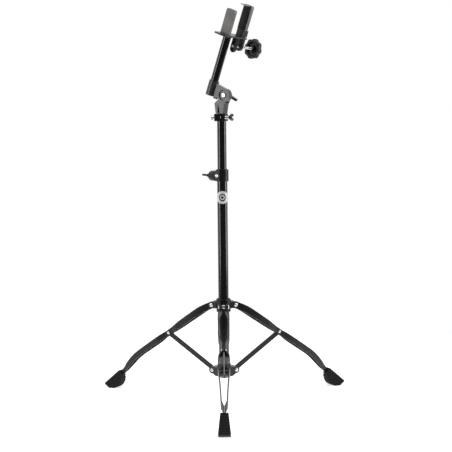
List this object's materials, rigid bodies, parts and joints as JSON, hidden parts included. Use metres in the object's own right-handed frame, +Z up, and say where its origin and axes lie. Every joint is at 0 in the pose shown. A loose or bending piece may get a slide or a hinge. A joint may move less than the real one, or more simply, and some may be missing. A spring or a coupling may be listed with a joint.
{
  "type": "tripod percussion stand",
  "caption": "Black tripod stand with a braced folding base, telescoping column, tilting rod and a two-jaw screw clamp that grips a drum block.",
  "frame": {"origin": "on the column's axis at floor level", "axes": "+Z up the column, -Y along the front leg, +X to the clamp knob's side"},
  "size_m": [0.705, 0.6113, 1.0904],
  "materials": {
    "column_black": "satin black powder coat",
    "cast_black": "satin black paint on castings",
    "cast_grey": "satin dark grey paint on castings",
    "strip_black": "satin black powder coat on stamped steel",
    "bolt_chrome": "bright chrome plate",
    "spacer_steel": "zinc plated",
    "foot_rubber": "matt moulded rubber",
    "liner_plastic": "moulded nylon",
    "badge_white": "plain gloss film",
    "plate_black": "satin black paint",
    "jaw_grey": "satin grey coat",
    "pad_rubber": "matt rubber",
    "knob_black": "moulded plastic with a fine grain"
  },
  "bodies": {
    "column": {"lower_tube": "column_black", "tube_plug": "liner_plastic", "lower_hub": "cast_black", "badge": "badge_white", "low_bolt_front": "bolt_chrome", "low_bolt_right": "bolt_chrome", "low_bolt_left": "bolt_chrome", "height_clamp": "cast_black", "height_bush": "liner_plastic", "height_bolt": "bolt_chrome"},
    "height_wing": {"height_wing": "cast_black"},
    "upper_hub": {"upper_hub": "cast_black", "hub_liner": "liner_plastic", "top_bolt_front": "bolt_chrome", "top_bolt_right": "bolt_chrome", "top_bolt_left": "bolt_chrome"},
    "hub_lock": {"hub_lock_screw": "bolt_chrome"},
    "upper_column": {"upper_tube": "column_black", "collar": "cast_black", "collar_bolt": "bolt_chrome"},
    "collar_wing": {"collar_wing": "cast_black"},
    "tilter": {"tilter_fork": "cast_grey", "tilter_bolt": "bolt_chrome"},
    "tilter_lever": {"tilter_lever": "cast_black"},
    "rod_arm": {"tilter_arm": "cast_grey", "arm_screws": "cast_black", "rod": "column_black", "rod_boss": "cast_black", "base_plate": "plate_black", "fixed_jaw": "jaw_grey", "fixed_pad": "pad_rubber", "front_lug": "plate_black"},
    "moving_jaw": {"moving_jaw": "jaw_grey", "moving_pad": "pad_rubber", "jaw_slider": "plate_black"},
    "clamp_knob": {"clamp_screw": "bolt_chrome", "screw_collar": "bolt_chrome", "knob": "knob_black"},
    "strut_front": {"strut_front": "strip_black"},
    "leg_front": {"strip_a_front": "strip_black", "strip_b_front": "strip_black", "foot_front": "foot_rubber", "top_spacer_front": "spacer_steel", "mid_rivet_front": "bolt_chrome"},
    "strut_right": {"strut_right": "strip_black"},
    "leg_right": {"strip_a_right": "strip_black", "strip_b_right": "strip_black", "foot_right": "foot_rubber", "top_spacer_right": "spacer_steel", "mid_rivet_right": "bolt_chrome"},
    "strut_left": {"strut_left": "strip_black"},
    "leg_left": {"strip_a_left": "strip_black", "strip_b_left": "strip_black", "foot_left": "foot_rubber", "top_spacer_left": "spacer_steel", "mid_rivet_left": "bolt_chrome"}
  },
  "joints": [
    {"name": "strut_fold_front", "type": "hinge", "parent": "column", "child": "strut_front", "pos_m": [0, -0.032, 0.086], "axis": [-1, 0, 0], "range_deg": [0, 48]},
    {"name": "leg_fold_front", "type": "hinge", "parent": "strut_front", "child": "leg_front", "pos_m": [0, -0.18, 0.1775], "axis": [1, 0, 0], "range_deg": [0, 96]},
    {"name": "strut_fold_right", "type": "hinge", "parent": "column", "child": "strut_right", "pos_m": [0.02771, 0.016, 0.086], "axis": [0.5, -0.866, 0], "range_deg": [0, 48]},
    {"name": "leg_fold_right", "type": "hinge", "parent": "strut_right", "child": "leg_right", "pos_m": [0.15588, 0.09, 0.1775], "axis": [-0.5, 0.866, 0], "range_deg": [0, 96]},
    {"name": "strut_fold_left", "type": "hinge", "parent": "column", "child": "strut_left", "pos_m": [-0.02771, 0.016, 0.086], "axis": [0.5, 0.866, 0], "range_deg": [0, 48]},
    {"name": "leg_fold_left", "type": "hinge", "parent": "strut_left", "child": "leg_left", "pos_m": [-0.15588, 0.09, 0.1775], "axis": [-0.5, -0.866, 0], "range_deg": [0, 96]},
    {"name": "hub_upright", "type": "hinge", "parent": "leg_front", "child": "upper_hub", "pos_m": [0, -0.032, 0.269], "axis": [-1, 0, 0], "range_deg": [0, 48]},
    {"name": "hub_lock_turn", "type": "hinge", "parent": "upper_hub", "child": "hub_lock", "pos_m": [0, 0.03, 0.269], "axis": [0, 1, 0], "range_deg": [-180, 180]},
    {"name": "height_slide", "type": "slide", "parent": "column", "child": "upper_column", "axis": [0, 0, 1], "range_m": [-0.115, 0.28]},
    {"name": "height_wing_turn", "type": "hinge", "parent": "column", "child": "height_wing", "pos_m": [-0.02843, -0.00648, 0.628], "axis": [-0.5736, 0.8192, 0], "range_deg": [-180, 180]},
    {"name": "collar_wing_turn", "type": "hinge", "parent": "upper_column", "child": "collar_wing", "pos_m": [0.0186, -0.0197, 0.786], "axis": [1, 0, 0], "range_deg": [-180, 180]},
    {"name": "column_swivel", "type": "hinge", "parent": "upper_column", "child": "tilter", "pos_m": [0, 0, 0.79], "axis": [0, 0, 1], "continuous": true},
    {"name": "tilter_tilt", "type": "hinge", "parent": "tilter", "child": "rod_arm", "pos_m": [0.01147, -0.00803, 0.846], "axis": [0.5736, 0.8192, 0], "range_deg": [-15, 70]},
    {"name": "tilter_lever_turn", "type": "hinge", "parent": "tilter", "child": "tilter_lever", "pos_m": [0.01801, 0.00131, 0.846], "axis": [0.5736, 0.8192, 0], "range_deg": [-180, 180]},
    {"name": "jaw_slide", "type": "slide", "parent": "rod_arm", "child": "moving_jaw", "axis": [0.6981, 0.7134, -0.0608], "range_m": [-0.0125, 0.002]},
    {"name": "knob_turn", "type": "hinge", "parent": "moving_jaw", "child": "clamp_knob", "pos_m": [0.08349, 0.04263, 0.9736], "axis": [0.6981, 0.7134, -0.0608], "range_deg": [-3000, 480]}
  ],
  "couplings": [
    {"joint": "leg_fold_front", "follows": "strut_fold_front", "ratio": 2},
    {"joint": "strut_fold_right", "follows": "strut_fold_front", "ratio": 1},
    {"joint": "leg_fold_right", "follows": "strut_fold_front", "ratio": 2},
    {"joint": "strut_fold_left", "follows": "strut_fold_front", "ratio": 1},
    {"joint": "leg_fold_left", "follows": "strut_fold_front", "ratio": 2},
    {"joint": "hub_upright", "follows": "strut_fold_front", "ratio": 1},
    {"joint": "knob_turn", "follows": "jaw_slide", "rad_per_m": 4188.8}
  ]
}
